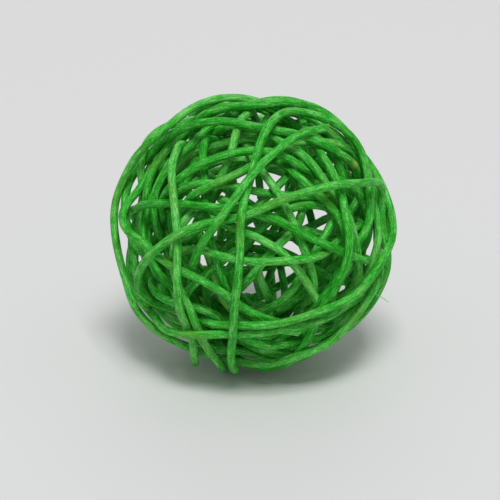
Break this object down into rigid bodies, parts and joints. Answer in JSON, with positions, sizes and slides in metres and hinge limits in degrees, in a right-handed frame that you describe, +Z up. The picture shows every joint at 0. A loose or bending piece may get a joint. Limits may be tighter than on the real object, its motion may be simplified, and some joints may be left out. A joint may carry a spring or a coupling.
{
  "type": "decorative sphere",
  "caption": "Open decorative ball wound at random from lengths of green-dyed rattan cane, hollow inside, with a small flat spot underneath.",
  "frame": {"origin": "bottom centre of the ball, on the surface it lies on", "axes": "+Z up as the picture shows it lying, -Y towards the picture's viewer, +X to the viewer's right"},
  "size_m": [0.0694, 0.0693, 0.0669],
  "materials": {
    "dyed_cane": "green-dyed rattan cane, matt to satin, with fine lengthwise grain"
  },
  "bodies": {
    "root": {"cane_upright": "dyed_cane", "cane_upright_behind": "dyed_cane", "cane_left_upright": "dyed_cane", "cane_slant": "dyed_cane", "cane_rising": "dyed_cane", "cane_sagging": "dyed_cane", "cane_falling": "dyed_cane", "cane_cut_end": "dyed_cane", "cane_arch": "dyed_cane", "cane_slant_behind": "dyed_cane", "cane_shoulder": "dyed_cane", "cane_right_upright": "dyed_cane", "cane_upper_smile": "dyed_cane", "cane_lower_smile": "dyed_cane", "cane_rim": "dyed_cane", "cane_crown": "dyed_cane", "cane_right_limb": "dyed_cane", "cane_left_limb": "dyed_cane", "cane_base": "dyed_cane", "cane_back_upright": "dyed_cane", "cane_back_falling": "dyed_cane", "cane_inner_first": "dyed_cane", "cane_inner_second": "dyed_cane", "cane_inner_third": "dyed_cane", "cane_inner_fourth": "dyed_cane", "cane_inner_fifth": "dyed_cane"}
  },
  "joints": []
}
